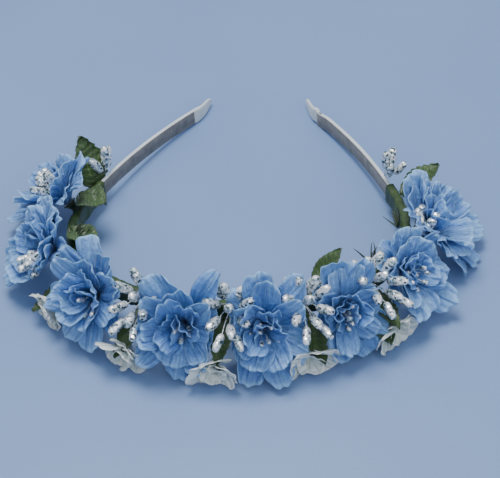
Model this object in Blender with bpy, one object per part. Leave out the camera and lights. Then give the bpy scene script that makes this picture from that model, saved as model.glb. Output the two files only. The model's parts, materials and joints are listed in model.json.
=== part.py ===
"""Flower crown: a sprung headband dressed with fabric blossoms, leaves and glitter stamens.

Blender 4.5, metres, +Z up. The crown lies on a table: its front (towards -Y) rests on the
blossoms, its two tips (towards +Y) rest on their lower edges. The origin is the centre of the
bounding box's bottom face.
"""

import math

import bmesh
import bpy
from mathutils import Matrix, Vector

MM = 0.001

# Driving dimensions of the headband, along its centre line and measured from the crown's centre.
FRONT_RADIUS = 88 * MM
FRONT_HALF_ARC = 57 * MM
SIDE_RADIUS = 41.5 * MM
SIDE_END = 107.5 * MM
LEG_RADIUS = 240 * MM
LEG_END = 194 * MM
TIP_LENGTH = 15 * MM
TIP_KICK = math.radians(22)
ARC_BLEND = 5 * MM
LEG_REST_HEIGHT = 4.05 * MM
LYING_TILT = math.radians(5)
BAND_DEPTH = 139.9 * MM
FRONT_Y = -60 * MM

# The band's cross-section, from the head outwards: lining, spring steel, satin cover.
BAND_HEIGHT = 7.4 * MM
CORE_HALF = 0.4 * MM
SKIN = 0.5 * MM
GAP = 0.3 * MM
LINING_HEIGHT = 5.4 * MM
TAPE_SKIN = 0.6 * MM
COVER_HALF = CORE_HALF + GAP + SKIN
TAPE_INNER = COVER_HALF + GAP
TAPE_OUTER = TAPE_INNER + TAPE_SKIN

# Where the band flexes, and where the floral tape ends.
HINGE_AT = 131 * MM
HINGE_CLEARANCE = 0.5 * MM
TAPE_END = 128 * MM

# The blossoms: (station along the band, rise above the band's plane, petal radius, petals).
STEM_START = 3.2 * MM
CALYX_TOP = 4.5 * MM
CUP = 9 * MM
PETAL_SKIN = 0.8 * MM
BLOSSOMS = (
    (-107, 50, 22.5, 9),
    (-79, 40, 22, 8),
    (-48, 31, 22, 8),
    (-13.5, 27, 22.5, 9),
    (16, 25, 22.5, 9),
    (42, 28, 21.5, 8),
    (68, 32, 22.5, 8),
    (96, 47, 24, 10),
)
# Beside each blossom: (station, half gap at the band, wedge that opens outwards).
PARTINGS = (
    (-120, 0.5, -18),
    (-94, 0.5, 0),
    (-62.5, 1.5, 0),
    (-30.5, 3.3, 2),
    (1, 2.9, 4),
    (30.5, 2.8, 2),
    (55.5, 2.8, 2),
    (81, 0.6, 0),
    (113.5, 0.5, -22),
)
# White blossoms under the blue ones: (parting, reach from the band, petal radius).
WHITE_BLOSSOMS = ((2, 15, 11), (3, 17, 12), (4, 18, 14), (5, 16, 12), (6, 16, 12))
# Leaves on the tape's inner side: (station, direction along, outwards and up, length, width).
INNER_LEAVES = (
    (-106, (0.10, -0.80, 0.10), 13, 13),
    (-83, (0.65, -0.60, 0.10), 15, 9),
    (36, (0.60, -0.15, 0.70), 17, 8),
)
# Leaves between the blossoms: (parting, offset, direction as above, length, width).
OUTER_LEAVES = (
    (0, -2.5, (-0.10, 0.50, 0.65), 24, 14),
    (4, 0, (0.0, 0.95, -0.25), 20, 12),
    (6, 0, (0.0, 0.95, -0.10), 22, 14),
    (8, 5, (0.15, 0.80, 0.45), 19, 11),
)
# Glitter stamen picks: (parting, offset, direction along, outwards and up, length).
PICKS = (
    (0, -8.5, (-0.45, 0.10, 0.80), 14),
    (3, 0, (0.0, 0.60, 0.80), 15),
    (4, 0, (0.0, 0.60, 0.80), 15),
    (5, 0, (0.0, 0.45, 0.90), 16),
    (6, 0, (0.0, 0.55, 0.85), 16),
    (8, 14, (0.10, 0.10, 0.90), 14),
)

BAND_Y = Vector((0, math.cos(LYING_TILT), -math.sin(LYING_TILT)))
BAND_UP = Vector((0, math.sin(LYING_TILT), math.cos(LYING_TILT)))


def material(name, colour, roughness, metallic=0.0):
    """A Principled BSDF of one colour."""
    made = bpy.data.materials.new(name)
    made.use_nodes = True
    shader = made.node_tree.nodes["Principled BSDF"]
    shader.inputs["Base Color"].default_value = (*colour, 1)
    shader.inputs["Roughness"].default_value = roughness
    shader.inputs["Metallic"].default_value = metallic
    return made


def eased(distance, width=ARC_BLEND):
    """0 well before a change of curvature, 1 well after it."""
    return 1 / (1 + math.exp(-distance / width))


def curvature(s):
    """Curvature of the band at a distance s from the crown's centre, either way."""
    s = abs(s)
    side = eased(s - FRONT_HALF_ARC)
    leg = eased(s - SIDE_END)
    tip = eased(s - LEG_END - 2 * MM, 1 * MM)
    past = eased(s - LEG_END - 7 * MM, 1 * MM)
    bend = (1 - side) / FRONT_RADIUS + side * (1 - leg) / SIDE_RADIUS + leg / LEG_RADIUS
    return bend * (1 - tip) - tip * (1 - past) * TIP_KICK / (5 * MM)


STEP = 0.5 * MM
TABLE = [(0.0, 0.0, 0.0)]
while len(TABLE) * STEP < LEG_END + TIP_LENGTH + 5 * MM:
    x, y, heading = TABLE[-1]
    heading += curvature((len(TABLE) - 0.5) * STEP) * STEP
    TABLE.append((x + math.cos(heading) * STEP, y + math.sin(heading) * STEP, heading))


def band_frame(s):
    """(centre, along, outwards) of the band at station s; up is BAND_UP everywhere."""
    place = abs(s) / STEP
    low = int(place)
    share = place - low
    x, y, heading = (a + (b - a) * share for a, b in zip(TABLE[low], TABLE[low + 1]))
    side = -1 if s < 0 else 1
    heading *= side
    height = LEG_REST_HEIGHT + BAND_DEPTH * math.sin(LYING_TILT)
    centre = Vector((side * x, FRONT_Y, height)) + y * BAND_Y
    along = Vector((math.cos(heading), 0, 0)) + math.sin(heading) * BAND_Y
    out = Vector((math.sin(heading), 0, 0)) - math.cos(heading) * BAND_Y
    return centre, along, out


def new_object(name, mesh_maker, mat, smooth=True, pivot=None):
    """An object from a bmesh, its normals outwards, with its origin at pivot if it has one."""
    mesh = bpy.data.meshes.new(name)
    if pivot:
        bmesh.ops.translate(mesh_maker, vec=-pivot, verts=mesh_maker.verts)
    bmesh.ops.recalc_face_normals(mesh_maker, faces=mesh_maker.faces)
    if mesh_maker.calc_volume(signed=True) < 0:
        bmesh.ops.reverse_faces(mesh_maker, faces=mesh_maker.faces)
    mesh_maker.to_mesh(mesh)
    mesh_maker.free()
    if smooth:
        mesh.shade_smooth()
        mesh.set_sharp_from_angle(angle=math.radians(40))
    mesh.materials.append(mat)
    made = bpy.data.objects.new(name, mesh)
    if pivot:
        made.location = pivot
    bpy.context.collection.objects.link(made)
    return made


def skin_rings(bm, rings, closed=False):
    """Bridges rings of points into one surface, capped at both ends unless closed on itself."""
    made = [[bm.verts.new(p) for p in ring] for ring in rings]
    count = len(made[0])
    pairs = list(zip(made, made[1:] + made[:1])) if closed else list(zip(made, made[1:]))
    for a, b in pairs:
        for i in range(count):
            j = (i + 1) % count
            bm.faces.new((a[i], a[j], b[j], b[i]))
    if not closed:
        bm.faces.new(list(reversed(made[0])))
        bm.faces.new(made[-1])


def taper(s):
    """Height of the band at s as a share of its full height: full on the legs, rounded at the tip."""
    over = (abs(s) - LEG_END) / TIP_LENGTH
    if over <= 0:
        return 1.0
    return max(0.25, (1 - 0.42 * over) * math.sqrt(max(0.0, 1 - max(0.0, over - 0.7) ** 2 / 0.1)))


def stations(start, end, step=6.5 * MM):
    """Evenly spaced stations whose middle pair straddles the crown's centre."""
    count = max(1, round(abs(end - start) / step))
    if start < 0 < end and count % 2 == 0:
        count += 1
    return [start + (end - start) * i / count for i in range(count + 1)]


def strip(name, places, section, mat, pivot=None):
    """Sweeps a section, given as (outwards, up) points for each station, along the band."""
    bm = bmesh.new()
    rings = []
    for s in places:
        centre, _, out = band_frame(s)
        rings.append([centre + o * out + u * BAND_UP for o, u in section(s)])
    skin_rings(bm, rings)
    return new_object(name, bm, mat, pivot=pivot)


def core_section(s):
    """The spring steel strip."""
    u = BAND_HEIGHT / 2 * taper(s) - SKIN - GAP
    return [(-CORE_HALF, -u), (CORE_HALF, -u), (CORE_HALF, u), (-CORE_HALF, u)]


def cover_section(s):
    """Satin over the outer face and both edges, with its lips folded onto the inner face."""
    u = BAND_HEIGHT / 2 * taper(s)
    inner = u - SKIN
    lip = LINING_HEIGHT / 2 * taper(s) + GAP
    back, front = -COVER_HALF, COVER_HALF
    return [
        (back, -u), (front, -u), (front, u), (back, u),
        (back, lip), (back + SKIN, lip), (back + SKIN, inner), (front - SKIN, inner),
        (front - SKIN, -inner), (back + SKIN, -inner), (back + SKIN, -lip), (back, -lip),
    ]


def sleeve_section(s):
    """Satin folded right round the band at the tips, where there is no lining."""
    u = BAND_HEIGHT / 2 * taper(s)
    inner = u - SKIN
    back, front = -COVER_HALF, COVER_HALF
    return [
        (back, -u), (front, -u), (front, u), (back, u),
        (back, 0.15 * MM), (back + SKIN, 0.15 * MM), (back + SKIN, inner), (front - SKIN, inner),
        (front - SKIN, -inner), (back + SKIN, -inner), (back + SKIN, -0.15 * MM), (back, -0.15 * MM),
    ]


def leg_cover_section(s):
    """The leg's satin: open over the lining, and closed over the tip."""
    return sleeve_section(s) if abs(s) > LEG_END - 1 * MM else cover_section(s)


def lining_section(s):
    """Grey lining ribbon on the inner face."""
    u = LINING_HEIGHT / 2
    return [(-COVER_HALF, -u), (-COVER_HALF + SKIN, -u), (-COVER_HALF + SKIN, u), (-COVER_HALF, u)]


def tape_ring(s, half, up):
    """Four corners of the tape's inner or outer wall at s."""
    centre, _, out = band_frame(s)
    corners = ((-half, -up), (half, -up), (half, up), (-half, up))
    return [centre + o * out + u * BAND_UP for o, u in corners]


def floral_tape(mat):
    """The tape wound round the dressed part of the band, an open sleeve."""
    bm = bmesh.new()
    places = stations(-TAPE_END, TAPE_END)
    up = BAND_HEIGHT / 2 + GAP
    outer = [tape_ring(s, TAPE_OUTER, up + TAPE_SKIN) for s in places]
    inner = [tape_ring(s, TAPE_INNER, up) for s in places]
    skin_rings(bm, outer + inner[::-1], closed=True)
    return new_object("floral_tape", bm, mat, smooth=False)


def along_plane(point, origin, normal, limit, soft):
    """Moves a point so that it stays short of limit along normal. Points keep their order, so a
    shape squeezed by its neighbour never folds through itself."""
    reach = (point - origin).dot(normal)
    start = limit - soft
    if reach <= start:
        return point
    squeezed = start + soft * (1 - math.exp(-(reach - start) / soft))
    return point + (squeezed - reach) * normal


def parting_planes(index):
    """The two faces of the gap at a parting: (origin, normal towards +along, half gap)."""
    station, half, wedge = PARTINGS[index]
    centre, along, out = band_frame(station * MM)
    turn = math.radians(wedge)
    after = along * math.cos(turn) - out * math.sin(turn)
    before = -along * math.cos(turn) - out * math.sin(turn)
    return (centre, after, half * MM), (centre, before, half * MM)


def keep_in_cell(point, index):
    """Keeps a blossom's point between its two partings and above the table."""
    origin, normal, half = parting_planes(index)[0]
    point = along_plane(point, origin, -normal, -half, 7 * MM)
    origin, normal, half = parting_planes(index + 1)[1]
    point = along_plane(point, origin, -normal, -half, 7 * MM)
    return above_table(point)


def keep_in_gap(point, index, margin=0.5 * MM):
    """Keeps an extra's point inside the gap at a parting, or beyond the end ones."""
    (origin, after, half), (_, before, _) = parting_planes(index)
    if index < len(PARTINGS) - 1:
        point = along_plane(point, origin, after, half - margin, 2.5 * MM)
    if index > 0:
        point = along_plane(point, origin, before, half - margin, 2.5 * MM)
    return above_table(point)


def above_table(point):
    """Flattens what would reach below the table top."""
    return along_plane(point, Vector((0, 0, 0)), Vector((0, 0, -1)), 0, 3 * MM)


def local_basis(axis, hint):
    """Two directions square to axis, the first as near to hint as it can be."""
    first = (hint - hint.dot(axis) * axis).normalized()
    return first, axis.cross(first)


def blossom_pose(index):
    """(start of the stem, axis, first, second) of a blue blossom."""
    station, rise, _, _ = BLOSSOMS[index]
    centre, along, out = band_frame(station * MM)
    axis = out * math.cos(math.radians(rise)) + BAND_UP * math.sin(math.radians(rise))
    first, second = local_basis(axis, BAND_UP)
    return centre + STEM_START * out, axis, first, second


def turned(bm, base, axis, first, second, profile, sides=8):
    """A turned solid from (distance along axis, radius) pairs."""
    rings = []
    for reach, radius in profile:
        ring = []
        for i in range(sides):
            a = 2 * math.pi * i / sides
            ring.append(base + reach * axis + radius * (math.cos(a) * first + math.sin(a) * second))
        rings.append(ring)
    skin_rings(bm, rings)


def rosette(base, frame, radius, cup, petals, keep, rings=3, per_petal=3, hollow=1.3):
    """A cupped disc with a petalled rim, one closed sheet of even thickness along its axis."""
    axis, first, second = frame
    bm = bmesh.new()
    count = petals * per_petal
    sheets = []
    for lift in (0, PETAL_SKIN):
        levels = []
        for k in range(1, rings + 1):
            share = k / rings
            ring = []
            for i in range(count):
                a = 2 * math.pi * i / count
                lobe = abs(math.cos(petals * a / 2)) ** 0.7
                r = radius * share * (1 - 0.28 * share * (1 - lobe))
                t = cup * (r / radius) ** hollow + lift
                point = base + t * axis + r * (math.cos(a) * first + math.sin(a) * second)
                ring.append(bm.verts.new(keep(point)))
            levels.append(ring)
        middle = bm.verts.new(keep(base + lift * axis))
        sheets.append((middle, levels))
    for middle, levels in sheets:
        for i in range(count):
            j = (i + 1) % count
            bm.faces.new((middle, levels[0][i], levels[0][j]))
            for a, b in zip(levels, levels[1:]):
                bm.faces.new((a[i], b[i], b[j], a[j]))
    low, high = sheets[0][1][-1], sheets[1][1][-1]
    for i in range(count):
        j = (i + 1) % count
        bm.faces.new((low[i], low[j], high[j], high[i]))
    return bm


def stamen_cluster(base, frame, length, bead, spread, keep):
    """Six beaded stamens on a bound foot: a twelve-sided foot whose upper faces are drawn out."""
    axis, first, second = frame
    bm = bmesh.new()
    golden = (1 + math.sqrt(5)) / 2
    corners = [(x, y, z) for x in (-1, 1) for y in (-1, 1) for z in (-1, 1)]
    corners += [(0, y / golden, z * golden) for y in (-1, 1) for z in (-1, 1)]
    corners += [(x / golden, y * golden, 0) for x in (-1, 1) for y in (-1, 1)]
    corners += [(x * golden, 0, z / golden) for x in (-1, 1) for z in (-1, 1)]
    # Turned so that a face, and not a corner, looks along the axis.
    upright = Vector((0, 1, golden)).rotation_difference(Vector((0, 0, 1))).to_matrix()
    foot = 1.1 * MM
    for corner in corners:
        bm.verts.new(upright @ Vector(corner) * foot / math.sqrt(3))
    bmesh.ops.convex_hull(bm, input=bm.verts)
    bmesh.ops.dissolve_limit(bm, angle_limit=0.02, verts=bm.verts, edges=bm.edges)
    drawn = [f for f in bm.faces if f.normal.z > 0.2]
    for face in drawn:
        toward = (face.normal * spread + Vector((0, 0, 1 - spread))).normalized()
        start = face.calc_center_median()
        own = start.length
        for share, width in ((0.45, 0.45), (0.6, 1.0), (0.9, 0.9), (1.0, 0.35)):
            made = bmesh.ops.extrude_discrete_faces(bm, faces=[face])["faces"][0]
            centre = made.calc_center_median()
            reach = toward * (own + share * (length - own))
            size = width * bead / max((v.co - centre).length for v in made.verts)
            for v in made.verts:
                v.co = reach + (v.co - centre) * size
            face = made
    turn = Matrix((first, second, axis)).transposed()
    for v in bm.verts:
        v.co = keep(base + turn @ v.co)
    return bm


def leaf(name, base, way, side_ways, length, width, mat, keep):
    """A folded leaf blade: a boat-shaped sheet with a pointed end."""
    way = way.normalized()
    side_ways = (side_ways - side_ways.dot(way) * way).normalized()
    face = side_ways.cross(way)
    bm = bmesh.new()
    blade = []
    for share, wide in ((0, 0.14), (0.18, 0.62), (0.4, 1.0), (0.62, 0.92), (0.84, 0.5), (1, 0.08)):
        reach = base + share * length * MM * way
        half = wide * width * MM / 2
        arch = 1.2 * MM * math.sin(math.pi * share) * face
        ring = []
        for across, lift in ((-1, 0.8), (0, 0), (1, 0.8), (1, 1.3), (0, 0.5), (-1, 1.3)):
            point = reach + arch + across * half * side_ways + lift * MM * face
            ring.append(keep(point))
        blade.append(ring)
    skin_rings(bm, blade)
    return new_object(name, bm, mat)


def build_band(steel, satin, lining, tape):
    """The headband in three lengths, because its legs flex, and the tape round its front."""
    edge = HINGE_AT - HINGE_CLEARANCE
    foot = HINGE_AT + HINGE_CLEARANCE
    front = stations(-edge, edge)
    strip("band_core_front", front, core_section, steel)
    strip("satin_cover_front", front, cover_section, satin)
    strip("lining_front", front, lining_section, lining)
    floral_tape(tape)
    for side, name in ((-1, "left"), (1, "right")):
        ribbon_end = stations(foot, LEG_END - 2 * MM)
        tip = [LEG_END + TIP_LENGTH * k / 6 for k in range(7)]
        places = [side * s for s in ribbon_end + tip]
        lined = places[:len(ribbon_end)]
        hinge = band_frame(side * HINGE_AT)[0]
        strip(f"band_core_{name}_leg", places[:-2], core_section, steel, hinge)
        strip(f"satin_cover_{name}_leg", places, leg_cover_section, satin, hinge)
        strip(f"lining_{name}_leg", lined, lining_section, lining, hinge)


def build_blossoms(blue_outer, blue_inner, green, glitter):
    """Each blue blossom: calyx on its stem, two petal rosettes and a bundle of stamens."""
    for index, (_, _, radius, petals) in enumerate(BLOSSOMS):
        base, axis, first, second = blossom_pose(index)
        frame = (axis, first, second)
        number = index + 1

        def keep(point, index=index):
            return keep_in_cell(point, index)

        bm = bmesh.new()
        profile = ((0, 1.5), (1.5, 1.4), (3, 2.2), (4, 3.2), (4.5, 3.0))
        turned(bm, base, *frame, [(t * MM, r * MM) for t, r in profile])
        new_object(f"blossom_{number}_calyx", bm, green)
        outer = base + (CALYX_TOP + GAP) * axis
        bm = rosette(outer, frame, radius * MM, CUP, petals, keep)
        new_object(f"blossom_{number}_outer_petals", bm, blue_outer)
        inner = outer + (PETAL_SKIN + 0.5 * MM) * axis
        bm = rosette(inner, frame, 0.6 * radius * MM, 1.2 * CUP, petals - 2, keep, rings=2, hollow=1.15)
        new_object(f"blossom_{number}_inner_petals", bm, blue_inner)
        core = inner + (PETAL_SKIN + 1.5 * MM) * axis
        bm = stamen_cluster(core, frame, 9 * MM, 1.1 * MM, 0.30, keep)
        new_object(f"blossom_{number}_stamens", bm, glitter)


def build_white_blossoms(white):
    """Five-petalled white blossoms low in the gaps between the blue ones."""
    for number, (index, reach, radius) in enumerate(WHITE_BLOSSOMS, 1):
        centre, _, out = band_frame(PARTINGS[index][0] * MM)
        axis = (out - 0.15 * BAND_UP).normalized()
        base = centre + reach * MM * out
        base.z = 6.5 * MM

        def keep(point, index=index):
            point = along_plane(point, Vector(), Vector((0, 0, 1)), 10 * MM, 5 * MM)
            return keep_in_gap(point, index)

        frame = (axis, *local_basis(axis, BAND_UP))
        bm = rosette(base, frame, radius * MM, 7 * MM, 5, keep, rings=2, per_petal=4)
        new_object(f"white_blossom_{number}", bm, white)


def build_leaves(green):
    """Leaves bound in with the tape, first those towards the head, then those between blossoms."""
    number = 0
    for station, direction, length, width in INNER_LEAVES:
        number += 1
        centre, along, out = band_frame(station * MM)
        way = direction[0] * along + direction[1] * out + direction[2] * BAND_UP
        base = centre + 5.4 * MM * BAND_UP
        leaf(f"leaf_{number}", base, way, way.cross(BAND_UP), length, width, green, above_table)
    for index, offset, direction, length, width in OUTER_LEAVES:
        number += 1
        centre, along, out = band_frame((PARTINGS[index][0] + offset) * MM)
        way = direction[0] * along + direction[1] * out + direction[2] * BAND_UP
        base = centre + (TAPE_OUTER + 2.8 * MM) * out - 1 * MM * BAND_UP

        def keep(point, index=index):
            return keep_in_gap(point, index)

        leaf(f"leaf_{number}", base, way, way.cross(BAND_UP), length, width, green, keep)


def build_picks(glitter):
    """Glitter stamen picks bound in between the blossoms."""
    for number, (index, offset, direction, length) in enumerate(PICKS, 1):
        centre, along, out = band_frame((PARTINGS[index][0] + offset) * MM)
        axis = direction[0] * along + direction[1] * out + direction[2] * BAND_UP
        axis.normalize()
        frame = (axis, *local_basis(axis, out))
        base = centre + (TAPE_OUTER + 1.4 * MM) * out + 6.2 * MM * BAND_UP

        def keep(point, index=index):
            return keep_in_gap(point, index)

        bm = stamen_cluster(base, frame, length * MM, 1.7 * MM, 0.33, keep)
        new_object(f"glitter_pick_{number}", bm, glitter)


def settle():
    """Moves the whole crown so that the origin is the centre of its box's bottom face."""
    made = list(bpy.context.collection.objects)
    points = [o.matrix_basis @ v.co for o in made for v in o.data.vertices]
    low = Vector([min(p[i] for p in points) for i in range(3)])
    high = Vector([max(p[i] for p in points) for i in range(3)])
    shift = Vector(((low.x + high.x) / 2, (low.y + high.y) / 2, low.z))
    for o in made:
        o.location -= shift


def main():
    for old in list(bpy.data.objects):
        bpy.data.objects.remove(old)
    steel = material("spring_steel", (0.45, 0.45, 0.46), 0.35, 1.0)
    satin = material("white_satin", (0.80, 0.83, 0.82), 0.4)
    lining = material("grey_lining", (0.33, 0.32, 0.33), 0.7)
    tape = material("floral_tape", (0.09, 0.15, 0.04), 0.6)
    outer = material("blue_petal_outer", (0.25, 0.43, 0.75), 0.7)
    inner = material("blue_petal_inner", (0.20, 0.36, 0.72), 0.7)
    white = material("white_petal", (0.76, 0.84, 0.80), 0.7)
    green = material("leaf_green", (0.10, 0.20, 0.04), 0.55)
    glitter = material("glitter", (0.85, 0.90, 0.93), 0.25, 0.3)
    build_band(steel, satin, lining, tape)
    build_blossoms(outer, inner, green, glitter)
    build_white_blossoms(white)
    build_leaves(green)
    build_picks(glitter)
    settle()


main()
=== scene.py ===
"""Looks of the flower crown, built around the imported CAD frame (Blender 4.5, metres, +Z up)."""

import json
import math

import bpy
import numpy as np
from mathutils import Matrix, Vector


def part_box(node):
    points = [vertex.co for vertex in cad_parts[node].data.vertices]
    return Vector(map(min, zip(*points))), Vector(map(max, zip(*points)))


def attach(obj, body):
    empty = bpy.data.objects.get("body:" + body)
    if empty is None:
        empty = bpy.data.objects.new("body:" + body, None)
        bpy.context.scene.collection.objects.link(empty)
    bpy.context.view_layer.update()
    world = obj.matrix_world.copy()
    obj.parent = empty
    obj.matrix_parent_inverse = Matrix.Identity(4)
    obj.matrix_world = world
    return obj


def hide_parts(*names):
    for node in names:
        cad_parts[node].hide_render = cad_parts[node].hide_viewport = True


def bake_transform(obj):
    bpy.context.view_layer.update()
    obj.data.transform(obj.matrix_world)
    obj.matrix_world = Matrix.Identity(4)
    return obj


MM = 0.001
UP = np.array([0.0, 0.0, 1.0])
BACK = np.array([0.0, 0.66, 0.75])


# ---------------------------------------------------------------- reading the frame

def corners(*nodes):
    """The distinct vertices of some CAD nodes."""
    found = [v.co for n in nodes for v in frame["nodes"][n].data.vertices]
    return np.unique(np.round(np.array(found, float), 6), axis=0)


def unit(v):
    return v / np.linalg.norm(v)


def principal(points):
    """(centre, three axes from the longest spread to the shortest)."""
    centre = points.mean(0)
    _, axes = np.linalg.eigh(np.cov((points - centre).T))
    return centre, [axes[:, 2], axes[:, 1], axes[:, 0]]


def symmetry_axis(points):
    """(centre, axis) of a turned body, whose two other spreads are equal."""
    centre = points.mean(0)
    spread, axes = np.linalg.eigh(np.cov((points - centre).T))
    return centre, axes[:, 0 if spread[1] - spread[0] > spread[2] - spread[1] else 2]


def away(v, centre):
    """v, turned if need be so that it points away from the inside of the band."""
    return v if v @ (centre - INSIDE) > 0 else -v


class Blossom:
    """Where a blossom sits, and how far its CAD petals reach each way."""

    def __init__(self, number):
        stem = corners(f"blossom_{number}_calyx")
        middle, axis = symmetry_axis(stem)
        self.axis = away(axis, middle)
        self.centre = middle + self.axis * ((stem - middle) @ self.axis).max()
        self.side = unit(np.cross(UP, self.axis))
        self.rise = np.cross(self.axis, self.side)
        petals = corners(f"blossom_{number}_outer_petals")
        reach = (petals - self.centre) @ self.side
        self.reach = (-reach.min(), reach.max())
        self.top = petals[:, 2].max()
        self.out = unit(self.axis * np.array([1, 1, 0]))
        self.droop = 0.0
        self.back = math.atan2(BACK @ self.side, BACK @ self.rise)
        self.hang = -self.rise

    def fit(self, points, spare=3 * MM):
        """Squeezes points softly into the room the CAD gives the blossom."""
        for sign, room in zip((-1, 1), self.reach):
            points = squeeze(points, self.centre, sign * self.side, room + spare, 5 * MM)
        points = squeeze(points, np.zeros(3), UP, self.top + 1 * MM, 8 * MM)
        return squeeze(points, np.zeros(3), -UP, -0.3 * MM, 3 * MM)


def squeeze(points, origin, normal, limit, soft):
    """Bends what reaches near limit along normal so that it stays short of it."""
    reach = (points - origin) @ normal
    over = np.maximum(reach - (limit - soft), 0)
    return points - np.outer(over - soft * (1 - np.exp(-over / soft)), normal)


# ---------------------------------------------------------------- mesh building

class Sheets:
    """Collects grids of points with texture coordinates and a tone, for one mesh object."""

    def __init__(self):
        self.points, self.faces, self.uvs, self.tones = [], [], [], []

    def grid(self, points, uv, tone=0.5, ring=False):
        """Adds a (rows, columns, 3) grid; ring joins the last column to the first."""
        rows, columns = points.shape[:2]
        start = sum(len(p) for p in self.points)
        self.points.append(points.reshape(-1, 3))
        self.uvs.append(uv.reshape(-1, 2))
        self.tones.append(np.full(rows * columns, tone))
        for i in range(rows - 1):
            for j in range(columns if ring else columns - 1):
                k = (j + 1) % columns
                a, b = start + i * columns, start + (i + 1) * columns
                self.faces.append((a + j, a + k, b + k, b + j))

    def cap(self, rows, columns):
        """Closes both ends of the ring grid that was added last."""
        start = sum(len(p) for p in self.points[:-1])
        self.faces.append(tuple(start + j for j in reversed(range(columns))))
        self.faces.append(tuple(start + (rows - 1) * columns + j for j in range(columns)))

    def build(self, name, material, thickness=0.0):
        mesh = bpy.data.meshes.new(name)
        points = np.concatenate(self.points)
        mesh.from_pydata(points.tolist(), [], self.faces)
        uv = np.concatenate(self.uvs)
        layer = mesh.uv_layers.new(name="UVMap")
        loops = np.zeros(len(mesh.loops), int)
        mesh.loops.foreach_get("vertex_index", loops)
        layer.data.foreach_set("uv", uv[loops].astype(np.float32).ravel())
        tone = mesh.attributes.new("tone", "FLOAT", "POINT")
        tone.data.foreach_set("value", np.concatenate(self.tones).astype(np.float32))
        mesh.shade_smooth()
        mesh.materials.append(material)
        made = bpy.data.objects.new(name, mesh)
        bpy.context.collection.objects.link(made)
        if thickness:
            solid = made.modifiers.new("thickness", "SOLIDIFY")
            solid.thickness = thickness
            solid.offset = 0
        return made


def flat_uv(rows, columns):
    across, along = np.meshgrid(np.linspace(0, 1, columns), np.linspace(0, 1, rows))
    return np.stack([across, along], -1)


def petal(rng, length, width, lean, ruffle, pleats):
    """One spoon-shaped petal as a grid, its foot at the origin, growing along +Z and leaning
    towards +X. lean is its angle from +Z at the foot and at the rim."""
    rows, columns = 19, 21
    u = np.linspace(0, 1, rows)[:, None]
    v = np.linspace(-1, 1, columns)[None, :]
    phase = rng.uniform(0, 2 * math.pi, 6)
    scallop = 0.035 * np.abs(np.sin((1.2 * v + phase[0] / 6) * math.pi))
    run = u * (0.97 - 0.20 * (1 - np.sqrt(1 - 0.97 * v ** 2)) + scallop)
    steps = np.linspace(0, 1, 60)
    angle = lean[0] + (lean[1] - lean[0]) * steps ** 1.1
    x = np.interp(run, steps, np.cumsum(np.sin(angle)) * length / 60)
    z = np.interp(run, steps, np.cumsum(np.cos(angle)) * length / 60)
    here = np.interp(run, steps, angle)
    grow = np.clip(u / 0.82, 0, 1)
    grow = grow * grow * (3 - 2 * grow)
    share = (0.12 + 0.88 * grow) * (1 - 0.06 * np.clip((u - 0.82) / 0.18, 0, 1) ** 2)
    half = width / 2 * share
    fold = np.abs(((v * pleats / 2 + phase[1] / 6) % 1) * 2 - 1) - 0.5
    lift = 0.20 * width * share * v ** 2 * (1 - 0.85 * u)
    lift = lift + fold * share * 0.13 * width * (1 - 0.60 * u)
    wave = np.sin(3.4 * v + phase[2]) + 0.6 * np.sin(8.5 * v + phase[3])
    lift = lift + ruffle * u ** 3 * wave
    lift = lift + rng.uniform(-0.3, 0.8) * 0.13 * length * np.clip((u - 0.62) / 0.38, 0, 1) ** 2
    lift = lift + rng.uniform(-0.45, 0.45) * v * half * u
    lift = lift + 0.7 * MM * np.sin(5 * u + phase[4]) * np.sin(2 * v + phase[5]) * grow
    for _ in range(4):
        waves = rng.uniform(3, 9), rng.uniform(2, 7), rng.uniform(0, 6)
        lift = lift + 0.15 * MM * np.sin(waves[0] * u * 2 + waves[1] * v + waves[2]) * grow
    across = v * half + rng.uniform(-0.10, 0.10) * length * u ** 2
    return np.stack([x - lift * np.cos(here), across, z + lift * np.sin(here)], -1)


def turn_z(points, angle):
    c, s = math.cos(angle), math.sin(angle)
    return points @ np.array([[c, s, 0], [-s, c, 0], [0, 0, 1]])


def place(points, origin, first, second, axis):
    """From a local frame with +Z as axis to the row frame."""
    return origin + points @ np.array([first, second, axis])


def whorl(sheets, rng, spot, count, length, width, lean, ruffle, pleats, foot, turn, arc=1.0):
    """A ring of petals round a blossom's axis, or only its upper part if arc is below 1. A petal
    that points at a neighbour is shorter."""
    for k in range(count):
        spin = turn + 2 * math.pi * arc * ((k + rng.uniform(-0.25, 0.25)) / count - 0.5)
        across = math.sin(spin)
        room = spot.reach[1 if across > 0 else 0] + 2 * MM
        span = length * rng.uniform(0.90, 1.08) * (1 - spot.droop * math.cos(spin))
        span = max(0.5 * span, min(span, room / max(abs(across), 0.01) / 0.93))
        tilt = rng.uniform(-0.28, 0.22)
        leans = (lean[0] + tilt * 0.4, lean[1] + tilt)
        made = petal(rng, span, width * rng.uniform(0.88, 1.12), leans, ruffle, pleats)
        made[..., 0] += foot[0]
        made[..., 2] += foot[1] + rng.uniform(-0.3, 0.3) * MM
        rows, columns = made.shape[:2]
        flat = turn_z(made.reshape(-1, 3), spin)
        flat = place(flat, spot.centre, spot.rise, spot.side, spot.axis)
        flat = spot.fit(flat)
        sheets.grid(flat.reshape(rows, columns, 3), flat_uv(rows, columns), rng.uniform(0, 1) ** 2)


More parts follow.
